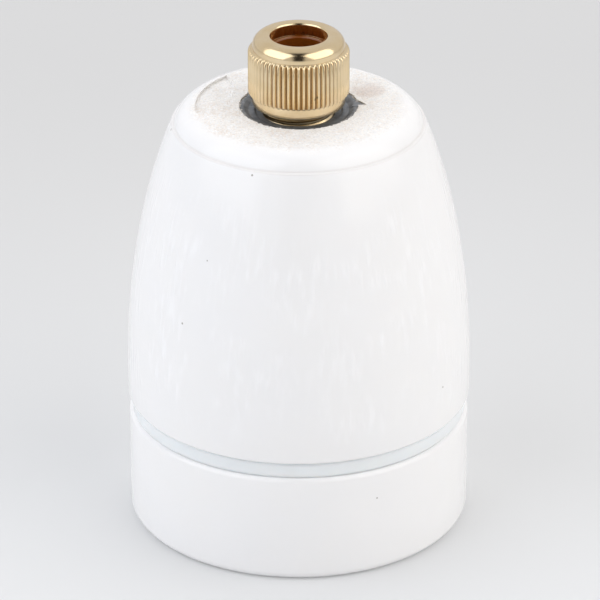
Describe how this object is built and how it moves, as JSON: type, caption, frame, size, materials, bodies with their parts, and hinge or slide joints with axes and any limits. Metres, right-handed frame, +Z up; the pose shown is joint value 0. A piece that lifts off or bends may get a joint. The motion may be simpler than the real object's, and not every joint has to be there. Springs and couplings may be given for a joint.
{
  "type": "pendant lamp holder",
  "caption": "White porcelain lamp holder with screw-on skirt ring, seal, rolled screw shell, wire terminals and a knurled brass cord grip on top.",
  "frame": {"origin": "on the axis, at the foot of the skirt's open mouth, where the holder stands", "axes": "+Z up along the axis from the lamp's mouth to the cord grip; +Y from the live terminal towards the neutral one"},
  "size_m": [0.0482, 0.0482, 0.0723],
  "materials": {
    "white_porcelain": "clear gloss glaze over white porcelain, bare on the top disc",
    "steatite": "unglazed pressed steatite",
    "silicone": "translucent moulded silicone",
    "zinc_plated_steel": "dulled zinc plate",
    "vulcanised_fibre": "pressed red fibre",
    "turned_brass": "bright turned",
    "plain_brass": "drawn, dull",
    "phosphor_bronze": "rolled strip",
    "nickel_plated_brass": "rolled and nickel plated",
    "natural_nylon": "moulded"
  },
  "bodies": {
    "cap": {"porcelain_cap": "white_porcelain", "thread_insert": "zinc_plated_steel", "locking_screw": "zinc_plated_steel", "fibre_washer": "vulcanised_fibre", "top_washer": "zinc_plated_steel", "cord_grip_nipple": "turned_brass"},
    "contact_carrier": {"contact_block": "steatite", "screw_shell": "nickel_plated_brass", "contact_leaf": "phosphor_bronze", "centre_contact_screw": "zinc_plated_steel", "live_terminal": "plain_brass", "neutral_terminal": "plain_brass", "shell_screws": "zinc_plated_steel", "shell_nuts": "zinc_plated_steel"},
    "skirt": {"porcelain_skirt": "white_porcelain", "seal_ring": "silicone"},
    "clamp_bush": {"clamp_bush": "natural_nylon"},
    "grip_nut": {"cord_grip_nut": "turned_brass"},
    "live_plate": {"live_clamp_plate": "zinc_plated_steel"},
    "live_screw": {"live_clamp_screw": "zinc_plated_steel"},
    "neutral_plate": {"neutral_clamp_plate": "zinc_plated_steel"},
    "neutral_screw": {"neutral_clamp_screw": "zinc_plated_steel"},
    "centre_button": {"contact_button": "plain_brass"}
  },
  "joints": [
    {"name": "skirt_travel", "type": "slide", "parent": "cap", "child": "contact_carrier", "axis": [0, 0, -1], "range_m": [0, 0.01]},
    {"name": "skirt_turn", "type": "hinge", "parent": "contact_carrier", "child": "skirt", "pos_m": [0, 0, 0.016], "axis": [0, 0, -1], "range_deg": [0, 900]},
    {"name": "bush_travel", "type": "slide", "parent": "cap", "child": "clamp_bush", "axis": [0, 0, 1], "range_m": [0, 0.005]},
    {"name": "nut_turn", "type": "hinge", "parent": "clamp_bush", "child": "grip_nut", "pos_m": [0, 0, 0.067], "axis": [0, 0, 1], "range_deg": [0, 1800]},
    {"name": "live_plate_lift", "type": "slide", "parent": "contact_carrier", "child": "live_plate", "axis": [0, 0, 1], "range_m": [0, 0.0015]},
    {"name": "live_screw_turn", "type": "hinge", "parent": "live_plate", "child": "live_screw", "pos_m": [0, -0.0112, 0.0433], "axis": [0, 0, 1], "range_deg": [0, 1080]},
    {"name": "neutral_plate_lift", "type": "slide", "parent": "contact_carrier", "child": "neutral_plate", "axis": [0, 0, 1], "range_m": [0, 0.0015]},
    {"name": "neutral_screw_turn", "type": "hinge", "parent": "neutral_plate", "child": "neutral_screw", "pos_m": [0, 0.0051, 0.0433], "axis": [0, 0, 1], "range_deg": [0, 1080]},
    {"name": "button_press", "type": "slide", "parent": "contact_carrier", "child": "centre_button", "axis": [0, 0, 1], "range_m": [0, 0.0015], "stiffness_N_per_m": 2500, "springref_m": -0.001, "deforming": ["contact_leaf"]}
  ],
  "couplings": [
    {"joint": "skirt_travel", "follows": "skirt_turn", "m_per_rad": 0.00063662},
    {"joint": "bush_travel", "follows": "nut_turn", "m_per_rad": 0.00015915},
    {"joint": "live_screw_turn", "follows": "live_plate_lift", "rad_per_m": 12566},
    {"joint": "neutral_screw_turn", "follows": "neutral_plate_lift", "rad_per_m": 12566}
  ]
}
